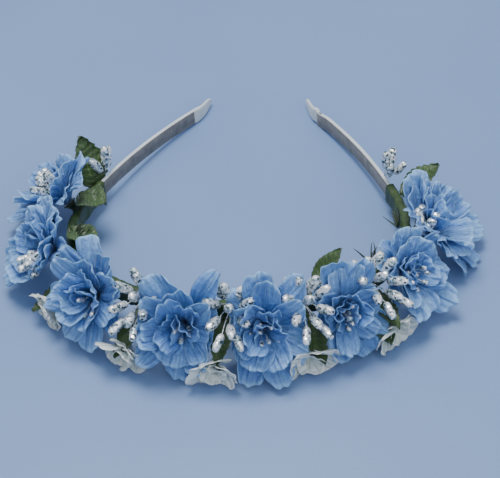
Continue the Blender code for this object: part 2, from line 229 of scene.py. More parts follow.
def pip(sheets, rng, end, way, length, radius):
    """A glitter-coated bead, longer than it is wide, with a lumpy coat."""
    way = unit(way)
    first = unit(np.cross(way, UP if abs(way[2]) < 0.9 else np.array([1.0, 0, 0])))
    second = np.cross(way, first)
    rows, columns = 9, 10
    grid = np.zeros((rows, columns, 3))
    for i in range(rows):
        t = math.pi * i / (rows - 1)
        r = radius * max(0.01, math.sin(t)) ** 0.5
        for j in range(columns):
            a = 2 * math.pi * j / columns
            lump = 1 + 0.05 * math.sin(5 * t + 3 * a) + rng.uniform(-0.10, 0.10)
            side = (math.cos(a) * first + math.sin(a) * second) * r * lump
            grid[i, j] = end + way * (length / 2) * (1 - math.cos(t)) + side
    sheets.grid(grid, flat_uv(rows, columns), rng.uniform(0, 1), ring=True)
    sheets.cap(rows, columns)


def tube(sheets, path, radius, tone=0.5, columns=6):
    """A thin round wire along a path."""
    path = np.asarray(path, float)
    grid = np.zeros((len(path), columns, 3))
    for i in range(len(path)):
        way = unit(path[min(i + 1, len(path) - 1)] - path[max(i - 1, 0)])
        first = unit(np.cross(way, UP if abs(way[2]) < 0.9 else np.array([1.0, 0, 0])))
        second = np.cross(way, first)
        r = radius[i] if hasattr(radius, "__len__") else radius
        for j in range(columns):
            a = 2 * math.pi * j / columns
            grid[i, j] = path[i] + r * (math.cos(a) * first + math.sin(a) * second)
    sheets.grid(grid, flat_uv(len(path), columns), tone, ring=True)
    sheets.cap(len(path), columns)


def bow(start, end, sag, count=7):
    """Points from start to end on a gently bowed line."""
    t = np.linspace(0, 1, count)[:, None]
    return start + (end - start) * t + sag * 4 * t * (1 - t)


# ---------------------------------------------------------------- materials

class Nodes:
    """A small helper for wiring one Principled material."""

    def __init__(self, name, roughness, **values):
        self.material = bpy.data.materials.new(name)
        self.material.use_nodes = True
        self.tree = self.material.node_tree
        self.shader = self.tree.nodes["Principled BSDF"]
        self.shader.inputs["Roughness"].default_value = roughness
        for key, value in values.items():
            self.shader.inputs[key.replace("_", " ").title()].default_value = value
        self.heights = []

    def add(self, kind, **inputs):
        node = self.tree.nodes.new("ShaderNode" + kind)
        for key, value in inputs.items():
            socket = node.inputs[key.replace("_", " ").title()]
            if hasattr(value, "is_output"):
                self.tree.links.new(value, socket)
            else:
                socket.default_value = value
        return node

    def coords(self, kind, scale):
        """Scaled UV or Object coordinates."""
        source = self.add("TexCoord").outputs[kind]
        mapping = self.add("Mapping", vector=source)
        mapping.inputs["Scale"].default_value = scale
        return mapping.outputs["Vector"]

    def noise(self, vector, scale=1.0, detail=3.0, rough=0.55):
        node = self.add("TexNoise", vector=vector, scale=scale, detail=detail, roughness=rough)
        return node.outputs["Fac"]

    def ramp(self, value, *stops):
        node = self.tree.nodes.new("ShaderNodeValToRGB")
        self.tree.links.new(value, node.inputs["Fac"])
        ramp = node.color_ramp
        while len(ramp.elements) < len(stops):
            ramp.elements.new(0.5)
        for element, (at, colour) in zip(ramp.elements, stops):
            element.position = at
            element.color = (*colour, 1) if hasattr(colour, "__len__") else (colour,) * 3 + (1,)
        return node.outputs["Color"]

    def mix(self, share, a, b, blend="MIX"):
        node = self.tree.nodes.new("ShaderNodeMix")
        node.data_type = "RGBA"
        node.blend_type = blend
        for socket, value in ((node.inputs[0], share), (node.inputs[6], a), (node.inputs[7], b)):
            if hasattr(value, "is_output"):
                self.tree.links.new(value, socket)
            else:
                socket.default_value = value if not hasattr(value, "__len__") else (*value, 1)
        return node.outputs[2]

    def math(self, operation, a, b=0.0, c=0.0):
        node = self.tree.nodes.new("ShaderNodeMath")
        node.operation = operation
        for socket, value in zip(node.inputs, (a, b, c)):
            if hasattr(value, "is_output"):
                self.tree.links.new(value, socket)
            else:
                socket.default_value = value
        return node.outputs[0]

    def tone(self):
        node = self.tree.nodes.new("ShaderNodeAttribute")
        node.attribute_name = "tone"
        return node.outputs["Fac"]

    def split(self, vector):
        return self.add("SeparateXYZ", vector=vector).outputs

    def colour(self, socket):
        self.tree.links.new(socket, self.shader.inputs["Base Color"])

    def rough(self, socket):
        self.tree.links.new(socket, self.shader.inputs["Roughness"])

    def bump(self, height, depth, strength=1.0):
        """Adds a layer of relief; depth is in metres."""
        node = self.add("Bump", height=height, strength=strength, distance=depth)
        if self.heights:
            self.tree.links.new(self.heights[-1], node.inputs["Normal"])
        self.heights.append(node.outputs["Normal"])
        self.tree.links.new(node.outputs["Normal"], self.shader.inputs["Normal"])


def petal_material(name, deep, middle, pale, crumple_and_glints=0.8):
    """Thin crinkled polyester: creases from foot to rim with painted highlights on their ridges and painted
    shade in their hollows, painted shade in the pleat troughs, painted shade at the foot, paler towards the rim
    as painted light through the thin petal, a painted highlight on the cut edge, painted glints on the
    crumples.
    """
    m = Nodes(name, 0.4, sheen_weight=0.2, sheen_roughness=0.4, subsurface_weight=0.2)
    m.shader.inputs["Sheen Tint"].default_value = (0.75, 0.87, 1.0, 1)
    m.shader.inputs["Subsurface Radius"].default_value = (0.6, 0.8, 1.0)
    m.shader.inputs["Subsurface Scale"].default_value = 1.5 * MM
    crease_shading = m.noise(m.coords("UV", (22, 1.6, 1)), 1.0, 4.0, 0.6)
    fine = m.noise(m.coords("UV", (60, 5, 1)), 1.0, 3.0, 0.6)
    blotch = m.noise(m.coords("Object", (1, 1, 1)), 160.0, 2.0)
    dimple_glints = m.noise(m.coords("Object", (1, 1, 1)), 620.0, 3.0, 0.6)
    sides = m.split(m.add("TexCoord").outputs["UV"])
    shift = m.math("MULTIPLY", m.noise(m.coords("UV", (3, 2, 1)), 1.0, 2.0), 9.0)
    pleat_and_shade = m.math("SINE", m.math("MULTIPLY_ADD", sides["X"], 34.0, shift))
    across = m.math("ABSOLUTE", m.math("MULTIPLY_ADD", sides["X"], 2.0, -1.0))
    rim_highlight = m.math("MAXIMUM", across, sides["Y"])
    # painted highlights on the crease ridges and painted shade in their hollows
    base = m.ramp(crease_shading, (0.30, deep), (0.52, middle), (0.74, pale))
    # painted shade in the pleat troughs
    base = m.mix(m.ramp(pleat_and_shade, (0.0, 0.40), (0.6, 0.0)), base, deep)
    # paler towards the rim: painted light through the thin outer part of the petal
    base = m.mix(m.ramp(sides["Y"], (0.0, 0.0), (0.55, 0.08), (1.0, 0.45)), base, pale)
    # darker towards the foot: painted shade deep inside the blossom
    base = m.mix(m.ramp(sides["Y"], (0.0, 0.85), (0.42, 0.0)), base, deep)
    base = m.mix(m.math("MULTIPLY", m.tone(), 0.5), base, pale)
    base = m.mix(m.ramp(blotch, (0.35, 0.0), (0.7, 0.4)), base, deep)
    # painted glints: pale spots on the crumples
    base = m.mix(m.ramp(dimple_glints, (0.55, 0.0), (0.72, 0.5 * crumple_and_glints)), base, pale)
    # painted highlight along the cut edge
    base = m.mix(m.ramp(rim_highlight, (0.91, 0.0), (0.98, 0.55)), base, pale)
    m.colour(base)
    m.rough(m.ramp(fine, (0.3, 0.28), (0.7, 0.55)))
    m.bump(pleat_and_shade, 0.5 * MM, 0.6)
    m.bump(crease_shading, 0.6 * MM, 0.8)
    m.bump(fine, 0.2 * MM, 0.7)
    m.bump(dimple_glints, 0.9 * MM, crumple_and_glints)
    return m.material


def leaf_material(name, dark, light):
    """Satin leaf: pressed veins and a soft gloss."""
    m = Nodes(name, 0.42, sheen_weight=0.25)
    sides = m.split(m.add("TexCoord").outputs["UV"])
    across = m.math("ABSOLUTE", m.math("SUBTRACT", sides["X"], 0.5))
    slant = m.math("ADD", m.math("MULTIPLY", sides["Y"], 9.0), m.math("MULTIPLY", across, -7.0))
    vein = m.math("ABSOLUTE", m.math("SINE", m.math("MULTIPLY", slant, math.pi)))
    ribs = m.ramp(vein, (0.0, 1.0), (0.28, 0.0))
    middle = m.ramp(across, (0.0, 1.0), (0.045, 0.0))
    lines = m.mix(1.0, ribs, middle, "LIGHTEN")
    blotch = m.noise(m.coords("Object", (1, 1, 1)), 210.0, 4.0)
    weave = m.noise(m.coords("UV", (120, 90, 1)), 1.0, 2.0)
    base = m.ramp(blotch, (0.3, dark), (0.7, light))
    base = m.mix(m.math("MULTIPLY", m.tone(), 0.4), base, light)
    base = m.mix(m.math("MULTIPLY", lines, 0.45), base, [c * 1.9 for c in light])
    m.colour(base)
    m.bump(lines, 0.35 * MM, 0.8)
    m.bump(weave, 0.08 * MM, 0.5)
    m.rough(m.ramp(blotch, (0.3, 0.32), (0.7, 0.55)))
    return m.material


def glitter_material():
    """A coat of fine silver-white flakes, each facing its own way, with painted glints and painted shade: each
    flake gets its own brightness, from near black to white.
    """
    m = Nodes("silver_glitter", 0.28, metallic=0.55)
    flakes = m.add("TexVoronoi", vector=m.coords("Object", (1, 1, 1)), scale=1150.0)
    coarse = m.add("TexVoronoi", vector=m.coords("Object", (1, 1, 1)), scale=700.0)
    glint = m.split(flakes.outputs["Color"])["X"]
    # painted glints and painted shade: each flake gets its own brightness
    m.colour(m.ramp(glint, (0.08, (0.05, 0.09, 0.11)), (0.34, (0.45, 0.60, 0.66)), (0.54, (1.0, 1.0, 1.0))))
    m.rough(m.ramp(glint, (0.0, 0.6), (1.0, 0.14)))
    m.bump(coarse.outputs["Distance"], 0.35 * MM, 0.9)
    m.bump(glint, 0.25 * MM, 0.9)
    return m.material


def satin_material():
    """White satin ribbon, its threads running along the band."""
    m = Nodes("white_satin", 0.32, sheen_weight=0.3, anisotropic=0.5)
    threads = m.noise(m.coords("UV", (26, 900, 1)), 1.0, 2.0)
    puckers = m.noise(m.coords("UV", (0.8, 60, 1)), 1.0, 3.0)
    base = m.ramp(puckers, (0.25, (0.42, 0.48, 0.50)), (0.7, (0.66, 0.70, 0.71)))
    m.colour(m.mix(m.ramp(threads, (0.35, 0.0), (0.7, 0.3)), base, (0.80, 0.84, 0.85)))
    m.bump(puckers, 0.25 * MM, 0.6)
    m.bump(threads, 0.05 * MM, 0.6)
    return m.material


def lining_material():
    """Grey woven ribbon with a fine cross rib."""
    m = Nodes("grey_lining", 0.78, sheen_weight=0.25)
    sides = m.split(m.add("TexCoord").outputs["UV"])
    rib = m.math("SINE", m.math("MULTIPLY", sides["Y"], 5200.0))
    warp = m.math("SINE", m.math("MULTIPLY", sides["X"], 90.0))
    weave = m.math("MULTIPLY", m.math("ADD", rib, warp), 0.25)
    weave = m.math("ADD", weave, 0.5)
    worn = m.noise(m.coords("Object", (1, 1, 1)), 260.0, 4.0)
    base = m.ramp(worn, (0.3, (0.085, 0.088, 0.095)), (0.7, (0.20, 0.20, 0.205)))
    m.colour(m.mix(m.ramp(weave, (0.2, 0.45), (0.8, 0.0)), base, (0.08, 0.08, 0.085)))
    m.bump(weave, 0.12 * MM, 0.9)
    m.bump(worn, 0.2 * MM, 0.3)
    return m.material


def tape_material():
    """Crinkled waxed crepe paper tape."""
    m = Nodes("floral_tape", 0.5)
    crinkle = m.noise(m.coords("UV", (3, 700, 1)), 1.0, 4.0, 0.65)
    blotch = m.noise(m.coords("Object", (1, 1, 1)), 240.0, 3.0)
    base = m.ramp(blotch, (0.3, (0.010, 0.028, 0.007)), (0.7, (0.038, 0.075, 0.016)))
    m.colour(m.mix(m.ramp(crinkle, (0.45, 0.0), (0.75, 0.5)), base, (0.07, 0.12, 0.03)))
    m.rough(m.ramp(crinkle, (0.3, 0.38), (0.7, 0.62)))
    m.bump(crinkle, 0.25 * MM, 0.8)
    return m.material


def steel_material():
    """Cold-rolled spring strip, inside the ribbons."""
    m = Nodes("spring_steel", 0.35, metallic=1.0)
    lines = m.noise(m.coords("Object", (400, 400, 4000)), 1.0, 2.0)
    m.colour(m.ramp(lines, (0.3, (0.36, 0.36, 0.37)), (0.7, (0.52, 0.52, 0.53))))
    m.bump(lines, 0.02 * MM, 0.4)
    return m.material


def floor_material():
    """Pale blue-grey tabletop with a fine grain."""
    m = Nodes("tabletop", 0.42)
    grain = m.noise(m.coords("Object", (1, 1, 1)), 900.0, 3.0)
    cloud = m.noise(m.coords("Object", (1, 1, 1)), 6.0, 2.0)
    base = m.ramp(cloud, (0.3, (0.155, 0.252, 0.47)), (0.7, (0.174, 0.276, 0.50)))
    m.colour(m.mix(m.ramp(grain, (0.42, 0.0), (0.62, 0.10)), base, (0.13, 0.20, 0.36)))
    m.bump(grain, 0.05 * MM, 0.4)
    return m.material


# ---------------------------------------------------------------- blossoms

# Beads: how many, length, radius, distance from the blossom's foot, and how much they hang.
SMALL = ((6, 2.8 * MM, 1.0 * MM, 9.5 * MM, 0.3), (3, 2.4 * MM, 0.9 * MM, 7 * MM, 0.2))
LARGE = ((5, 9 * MM, 2.0 * MM, 8 * MM, 0.1), (5, 6 * MM, 1.8 * MM, 10 * MM, 0.5))
FRONTAL = ((6, 7 * MM, 2.0 * MM, 9.5 * MM, 1.1), (5, 5 * MM, 1.8 * MM, 11 * MM, 0.9))
FALLEN = ((8, 6 * MM, 1.7 * MM, 12.5 * MM, 1.0), (4, 4 * MM, 1.4 * MM, 10 * MM, 0.8))


def build_blossom(number, spot, petals, sizes):
    """Petal layers and stamens of one blue blossom."""
    rng = np.random.default_rng(40 + number)
    name = f"blossom_{number}"
    length, width, open_to, pleats, beads, spot.droop, (along, out, up) = sizes
    spot.centre = spot.centre + (along * spot.side + out * spot.out + up * UP) * MM
    spot.reach = (spot.reach[0] + along * MM, spot.reach[1] - along * MM)
    outer = Sheets()
    whorl(outer, rng, spot, petals, length, width, (0.85, open_to), 0.9 * MM, pleats,
          (1.2 * MM, 0), rng.uniform(0, 0.7))
    whorl(outer, rng, spot, petals - 1, length * 0.84, width * 0.95, (0.6, open_to - 0.25), 0.9 * MM,
          pleats, (1.0 * MM, 0.9 * MM), rng.uniform(0, 0.7))
    made = outer.build(f"{name}_outer_layers", PETAL_OUTER, 0.16 * MM)
    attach(made, "front")
    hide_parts(f"{name}_outer_petals")
    inner = Sheets()
    tuft = 0.75 if beads is SMALL else 0.5
    whorl(inner, rng, spot, 5, length * 0.72, width * 0.88, (0.35, open_to - 0.75), 0.9 * MM, pleats,
          (0.8 * MM, 1.5 * MM), spot.back + rng.uniform(-0.3, 0.3), tuft)
    whorl(inner, rng, spot, 3, length * 0.56, width * 0.8, (0.15, open_to - 1.05), 0.9 * MM, pleats,
          (0.5 * MM, 1.9 * MM), spot.back + rng.uniform(-0.3, 0.3), tuft - 0.15)
    made = inner.build(f"{name}_inner_layers", PETAL_INNER_SHADED, 0.16 * MM)
    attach(made, "front")
    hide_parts(f"{name}_inner_petals")
    threads = Sheets()
    for count, long, radius, far, fall in beads:
        for k in range(count):
            spin = 2 * math.pi * k / count + rng.uniform(-0.4, 0.4)
            tilt = rng.uniform(0.15, 0.65)
            way = math.cos(spin) * spot.side + math.sin(spin) * spot.rise
            way = unit(spot.axis * math.cos(tilt) + way * math.sin(tilt) + fall * spot.hang)
            start = spot.centre + 1.2 * MM * spot.axis
            end = start + way * far * rng.uniform(0.85, 1.15)
            tube(threads, bow(start, end, 0.6 * MM * spot.rise), 0.17 * MM)
            pip(threads, rng, end - way * 0.3 * MM, way, long, radius)
    made = threads.build(f"{name}_glitter_stamens", GLITTER)
    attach(made, "front")
    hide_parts(f"{name}_stamens")
    frame["nodes"][f"{name}_calyx"].data.materials.clear()
    frame["nodes"][f"{name}_calyx"].data.materials.append(LEAF_DARK)


def build_white(number, left, right):
    """A small white blossom under two blue ones."""
    rng = np.random.default_rng(90 + number)
    solid = corners(f"white_blossom_{number}")
    low, high = solid.min(0), solid.max(0)
    out = unit(left.out + right.out)
    spot = Blossom.__new__(Blossom)
    spot.axis = unit(out - 0.12 * UP)
    spot.side = unit(np.cross(UP, spot.axis))
    spot.rise = np.cross(spot.axis, spot.side)
    middle = (low + high) / 2
    spot.centre = middle - out * 4.5 * MM + (8 * MM - middle[2]) * UP - 4 * MM * spot.side * (number in (3, 4))
    spot.reach = (14 * MM, 14 * MM)
    spot.top = 17 * MM
    spot.droop = 0.0
    sheets = Sheets()
    size = (high - low)[:2].max() / (16 * MM)
    size = min(1.15, max(0.8, size))
    whorl(sheets, rng, spot, 5, 15 * MM * size, 16 * MM * size, (0.5, 1.45), 0.3 * MM, 0.5,
          (0.8 * MM, 0), 0.6)
    whorl(sheets, rng, spot, 4, 11 * MM * size, 12 * MM * size, (0.2, 0.9), 0.3 * MM, 0.5,
          (0.5 * MM, 0.6 * MM), 0.2)
    made = sheets.build(f"white_blossom_{number}_layers", PETAL_WHITE, 0.16 * MM)
    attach(made, "front")
    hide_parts(f"white_blossom_{number}")


# ---------------------------------------------------------------- leaves, sprigs and picks

def leaf_blade(sheets, base, way, face, length, width, teeth, tone, curl=0.10):
    """A folded blade with a toothed edge, or a smooth one if teeth is 0."""
    way = unit(way)
    side = unit(np.cross(face, way))
    face = np.cross(way, side)
    rows, columns = 34, 13
    u = np.linspace(0, 1, rows)[:, None]
    v = np.linspace(-1, 1, columns)[None, :]
    half = np.sin(math.pi * np.clip(u, 0, 1) ** 0.78) ** 0.75 * width / 2 + 0.25 * MM
    saw = ((u * teeth) % 1) if teeth else 0 * u
    half = half * (1 - 0.22 * saw * (np.abs(v) ** 3))
    lift = 0.16 * width * np.abs(v) ** 1.3 - curl * length * u ** 2 * 1.4
    lift = lift + 0.04 * width * np.sin(9 * u + 3 * v) + 0.022 * width * np.cos(v * 0 + u * 9 * math.pi * 2 - np.abs(v) * 7)
    grid = base + (u * length)[..., None] * way + (v * half)[..., None] * side
    grid = grid + lift[..., None] * face
    grid = squeeze(grid.reshape(-1, 3), np.zeros(3), -UP, -0.4 * MM, 2 * MM).reshape(grid.shape)
    sheets.grid(grid, flat_uv(rows, columns), tone)


def build_leaf(number, teeth, material, wide=1.0, swing=(0, 0, 0), shift=0.0):
    """A leaf in the place of its CAD blade."""
    solid = corners(f"leaf_{number}")
    middle, (way, side, face) = principal(solid)
    reach = (solid - middle) @ way
    spread = np.abs((solid - middle) @ side).max()
    ends = [middle + way * reach.min(), middle + way * reach.max()]
    near = [min(np.linalg.norm(BAND_LINE - e, axis=1)) for e in ends]
    if near[0] > near[1]:
        way, ends = -way, ends[::-1]
    face = face if face[2] > 0 else -face
    tip = ends[1] + np.array(swing) * MM
    start = ends[0] + shift * face
    sheets = Sheets()
    leaf_blade(sheets, start, tip - start, face, np.linalg.norm(tip - start), 2.1 * spread * wide,
               teeth, 0.5)
    made = sheets.build(f"leaf_{number}_blade", material, 0.2 * MM)
    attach(made, "front")
    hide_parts(f"leaf_{number}")


def build_under_leaf(name, left, right, lean, width=10 * MM):
    """A dark leaf that lies under two neighbouring blossoms and shows in the gap between them."""
    out = unit(left.out + right.out)
    along = np.cross(UP, out)
    middle = (left.centre + right.centre) / 2
    foot = BAND_LINE[np.argmin(np.linalg.norm(BAND_LINE - middle, axis=1))]
    way = out * 24 * MM + lean * along * MM - 6 * MM * UP
    sheets = Sheets()
    leaf_blade(sheets, foot + 3 * MM * out, way, UP, np.linalg.norm(way), width, 8, 0.3, 0.04)
    made = sheets.build(name, LEAF, 0.2 * MM)
    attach(made, "front")


def build_pick(number, out, along, spots):
    """A bunch of glitter stamens bound to the band. spots are the beads' places from the foot:
    along the band, outwards and up, in millimetres, then the way each one points."""
    rng = np.random.default_rng(140 + number)
    solid = corners(f"glitter_pick_{number}")
    middle = solid.mean(0)
    foot = BAND_LINE[np.argmin(np.linalg.norm(BAND_LINE - middle, axis=1))]
    start = foot + 4.5 * MM * UP + 1.5 * MM * out
    sheets = Sheets()
    for a, o, z, wa, wo, wz, size in spots:
        end = foot + (a * along + o * out + z * UP) * MM
        way = unit(wa * along + wo * out + wz * UP)
        tube(sheets, bow(start, end, 0.8 * MM * UP), 0.22 * MM)
        pip(sheets, rng, end, way, 8.2 * MM * size, 1.75 * MM * size)
    made = sheets.build(f"glitter_pick_{number}_beads", GLITTER)
    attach(made, "front")
    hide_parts(f"glitter_pick_{number}")


def build_sprig(name, base, way, count, length, seed):
    """A tuft of thin dark needles."""
    rng = np.random.default_rng(seed)
    sheets = Sheets()
    for _ in range(count):
        tip = unit(unit(way) + rng.normal(0, 0.33, 3)) * length * rng.uniform(0.6, 1.0)
        path = bow(base, base + tip, rng.normal(0, 0.6, 3) * MM)
        tube(sheets, path, [0.6 * MM * (1 - 0.8 * k / 6) for k in range(7)], rng.uniform(0, 1), 5)
    made = sheets.build(name, LEAF_DARK)
    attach(made, "front")


# ---------------------------------------------------------------- headband

def line_of(node):
    """Centre points of a swept CAD strip, one for each cluster of its corners; they are not put in order along
    the strip.
    """
    points = corners(node)
    groups = []
    for p in points:
        for g in groups:
            if np.linalg.norm(p[:2] - g[0][:2]) < 1.7 * MM:
                g.append(p)
                break
        else:
            groups.append([p])
    centres = np.array([np.mean(g, axis=0) for g in groups])
    return centres


def smooth(points, step):
    """Resamples a chain of points evenly on a Catmull-Rom curve."""
    padded = np.vstack([2 * points[0] - points[1], points, 2 * points[-1] - points[-2]])
    fine = []
    for i in range(1, len(padded) - 2):
        a, b, c, d = padded[i - 1:i + 3]
        for t in np.linspace(0, 1, 24, endpoint=False):
            fine.append(0.5 * (2 * b + (c - a) * t + (2 * a - 5 * b + 4 * c - d) * t ** 2
                               + (3 * b - a - 3 * c + d) * t ** 3))
    fine.append(points[-1])
    fine = np.array(fine)
    run = np.concatenate([[0], np.cumsum(np.linalg.norm(np.diff(fine, axis=0), axis=1))])
    at = np.linspace(0, run[-1], max(2, round(run[-1] / step)))
    return np.stack([np.interp(at, run, fine[:, k]) for k in range(3)], -1)


def chain(points, start):
    """Orders points by walking from start to the nearest one left."""
    left = list(range(len(points)))
    here, order = start, []
    while left:
        nearest = min(left, key=lambda k: np.linalg.norm(points[k] - here))
        left.remove(nearest)
        order.append(nearest)
        here = points[nearest]
    return points[order]


def sweep(sheets, line, section, closed_ends=True):
    """Sweeps a section, a function of the share of the way along, along a line."""
    grid, uv = [], []
    run = np.concatenate([[0], np.cumsum(np.linalg.norm(np.diff(line, axis=0), axis=1))])
    for i, here in enumerate(line):
        way = unit(line[min(i + 1, len(line) - 1)] - line[max(i - 1, 0)])
        out = unit(np.cross(way, PLANE_UP))
        out = out if out @ (here - INSIDE) > 0 else -out
        shape = section(run[i], run[-1])
        grid.append([here + o * out + z * PLANE_UP for o, z in shape])
        uv.append([(k / len(shape), run[i]) for k in range(len(shape))])
    grid, uv = np.array(grid), np.array(uv)
    sheets.grid(grid, uv, 0.5, ring=True)
    if closed_ends:
        sheets.cap(*grid.shape[:2])


def build_headband():
    """Ribbons over the whole band, in a left and a right half, and the tape."""
    for side, name in ((-1, "left"), (1, "right")):
        joint = next(j for j in frame["joints"] if j["child"] == f"{name}_leg")
        hinge = np.array(joint["pos_m"])
        mine = WHOLE_LINE[WHOLE_LINE[:, 0] * side > MIDDLE_X * side - 0.2 * MM]
        mine = chain(mine, BAND_FRONT)
        mine = np.vstack([mine, 3 * mine[-1] - 2 * mine[-2]])
        line = smooth(mine, 1.2 * MM)
        gaps = np.linalg.norm(line - hinge, axis=1)
        at = int(np.argmin(gaps))
        cover = Sheets()
        sweep(cover, line, cover_shape)
        ribbon = cover.build(f"satin_ribbon_{name}", SATIN)
        lining = Sheets()
        total = len(line)
        sweep(lining, line[:total - round(17 / 1.2)], lining_shape)
        inside = lining.build(f"lining_ribbon_{name}", LINING)
        start, end = line[at - 3], line[at + 3]
        for piece in (ribbon, inside):
            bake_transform(piece)
        if side < 0:
            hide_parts("satin_cover_front", "satin_cover_left_leg")
            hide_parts("lining_front", "lining_left_leg")
        else:
            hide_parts("satin_cover_right_leg")
            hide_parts("lining_right_leg")
    tape = Sheets()
    ends = corners("floral_tape")
    front = WHOLE_LINE[WHOLE_LINE[:, 1] < ends[:, 1].max() + 0.5 * MM]
    start = front[np.argmax(np.where(front[:, 0] < 0, front[:, 1], -1))]
    line = smooth(chain(front, start), 0.8 * MM)
    sweep(tape, line, tape_shape)
    made = tape.build("floral_tape_wrap", TAPE)
    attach(made, "front")
    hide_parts("floral_tape")


def rounded(half_out, half_up, count=5):
    """A flat strip's section with rounded edges."""
    points = []
    for o, z, a0 in ((1, 1, 0), (-1, 1, 90), (-1, -1, 180), (1, -1, 270)):
        for k in range(count):
            a = math.radians(a0 + 90 * k / (count - 1))
            r = min(half_out, half_up) * 0.8
            points.append((o * (half_out - r) + r * math.cos(a), z * (half_up - r) + r * math.sin(a)))
    return points


def tip_share(run, total):
    """Full height on the leg, tapering to a rounded end."""
    over = (run - (total - 15 * MM)) / (15 * MM)
    if over <= 0:
        return 1.0
    return max(0.12, (1 - 0.42 * over) * math.sqrt(max(0.0, 1 - max(0.0, over - 0.7) ** 2 / 0.094)))


def cover_shape(run, total):
    share = tip_share(run, total)
    swell = 1 + 0.35 * math.exp(-((total - run - 13.5 * MM) / (1.6 * MM)) ** 2)
    return rounded(0.9 * MM * swell * max(0.6, share), 3.7 * MM * share)


def lining_shape(run, total):
    return [(o - 0.8 * MM, z) for o, z in rounded(0.28 * MM, 3.3 * MM, 3)]


def tape_shape(run, total):
    points = []
    base = rounded(1.85 * MM, 4.2 * MM, 6)
    for k, (o, z) in enumerate(base):
        lap = (run / (11 * MM) - k / len(base)) % 1
        grow = 1 + 0.16 * lap + 0.05 * math.sin(run * 2600 + 5 * k) + 0.05 * math.sin(run * 900 + k)
        points.append((o * grow, z * (1 + (grow - 1) * 0.45)))
    return points


# ---------------------------------------------------------------- light and camera

def aim(made, spot):
    made.rotation_mode = "QUATERNION"
    made.rotation_quaternion = (Vector(spot) - made.location).to_track_quat("-Z", "Y")


def soft_light(name, place_at, size, power, colour=(1, 1, 1)):
    data = bpy.data.lights.new(name, "AREA")
    data.shape = "DISK"
    data.size = size
    data.energy = power
    data.color = colour
    made = bpy.data.objects.new(name, data)
    made.location = place_at
    bpy.context.collection.objects.link(made)
    aim(made, (0, 0, 0.01))
    return made


def build_stage():
    mesh = bpy.data.meshes.new("tabletop")
    s = 3.0
    mesh.from_pydata([(-s, -s, 0), (s, -s, 0), (s, s, 0), (-s, s, 0)], [], [(0, 1, 2, 3)])
    mesh.materials.append(floor_material())
    floor = bpy.data.objects.new("tabletop", mesh)
    bpy.context.collection.objects.link(floor)
    soft_light("key", (-0.10, 0.14, 1.05), 0.55, 12, (1.0, 0.99, 0.97))
    soft_light("fill", (0.5, -0.8, 0.9), 1.2, 5.5, (0.93, 0.96, 1.0))
    world = bpy.data.worlds.new("studio")
    world.use_nodes = True
    world.node_tree.nodes["Background"].inputs["Color"].default_value = (0.80, 0.88, 1.0, 1)
    world.node_tree.nodes["Background"].inputs["Strength"].default_value = 0.62
    bpy.context.scene.world = world


def build_camera():
    """The photograph's viewing angle: above and in front, a touch to the right."""
    azimuth, elevation, roll = (math.radians(a) for a in (8.1, 41.1, -4.6))
    back = Vector((math.sin(azimuth) * math.cos(elevation),
                   -math.cos(azimuth) * math.cos(elevation), math.sin(elevation)))
    level = Vector((math.cos(azimuth), math.sin(azimuth), 0))
    over = back.cross(level)
    right = level * math.cos(roll) + over * math.sin(roll)
    top = over * math.cos(roll) - level * math.sin(roll)
    data = bpy.data.cameras.new("camera")
    data.sensor_width = 36
    data.lens = 92.9
    data.shift_x = 0.011
    data.shift_y = -0.0524
    made = bpy.data.objects.new("camera", data)
    bpy.context.collection.objects.link(made)
    look = Vector((MIDDLE_X, BAND_FRONT[1] + 75 * MM, 0))
    turned = Matrix((right, top, back)).transposed().to_4x4()
    turned.translation = look + back * 0.56
    made.matrix_world = turned
    bpy.context.scene.camera = made


# ---------------------------------------------------------------- the crown

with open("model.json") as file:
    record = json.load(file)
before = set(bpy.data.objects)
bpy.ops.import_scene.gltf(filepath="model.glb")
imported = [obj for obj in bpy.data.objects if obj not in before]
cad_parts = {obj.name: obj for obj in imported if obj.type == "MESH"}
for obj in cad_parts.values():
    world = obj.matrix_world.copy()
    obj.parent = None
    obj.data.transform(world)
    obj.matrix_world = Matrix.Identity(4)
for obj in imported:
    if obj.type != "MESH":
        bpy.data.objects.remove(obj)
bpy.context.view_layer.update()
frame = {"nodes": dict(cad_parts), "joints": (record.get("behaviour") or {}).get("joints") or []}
LEGS = ("band_core_left_leg", "band_core_right_leg")
WHOLE_LINE = np.vstack([line_of(n) for n in ("band_core_front", *LEGS)])
low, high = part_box("lining_front")
MIDDLE_X = (low.x + high.x) / 2
BAND_FRONT = WHOLE_LINE[np.argmin(WHOLE_LINE[:, 1])] * np.array([0, 1, 1]) + np.array([MIDDLE_X, 0, 0])
INSIDE = np.array([MIDDLE_X, BAND_FRONT[1] + 55 * MM, 0.012])
BAND_LINE = line_of("band_core_front")
PLANE_UP = unit(-np.array(frame["joints"][0]["axis"]))
PLANE_UP = PLANE_UP if PLANE_UP[2] > 0 else -PLANE_UP

PETAL_OUTER = petal_material("blue_petal_outer", (0.022, 0.090, 0.38), (0.072, 0.235, 0.66), (0.32, 0.58, 0.97))
# the inner petals get a darker copy of the outer petals' colours: painted shade on the layers deep in the
# blossom
PETAL_INNER_SHADED = petal_material("blue_petal_inner", (0.016, 0.068, 0.34), (0.052, 0.19, 0.61), (0.27, 0.52, 0.95))
PETAL_WHITE = petal_material("white_petal", (0.62, 0.76, 0.70), (0.82, 0.92, 0.87), (0.96, 0.99, 0.97), 0.35)
LEAF = leaf_material("leaf_green", (0.010, 0.034, 0.004), (0.032, 0.086, 0.010))
LEAF_DARK = leaf_material("leaf_dark", (0.008, 0.025, 0.006), (0.03, 0.065, 0.015))
GLITTER = glitter_material()
SATIN = satin_material()
LINING = lining_material()
TAPE = tape_material()
STEEL = steel_material()

for node in ("band_core_front", *LEGS):
    frame["nodes"][node].data.materials.clear()
    frame["nodes"][node].data.materials.append(STEEL)

SPOTS = {n: Blossom(n) for n in range(1, 9)}
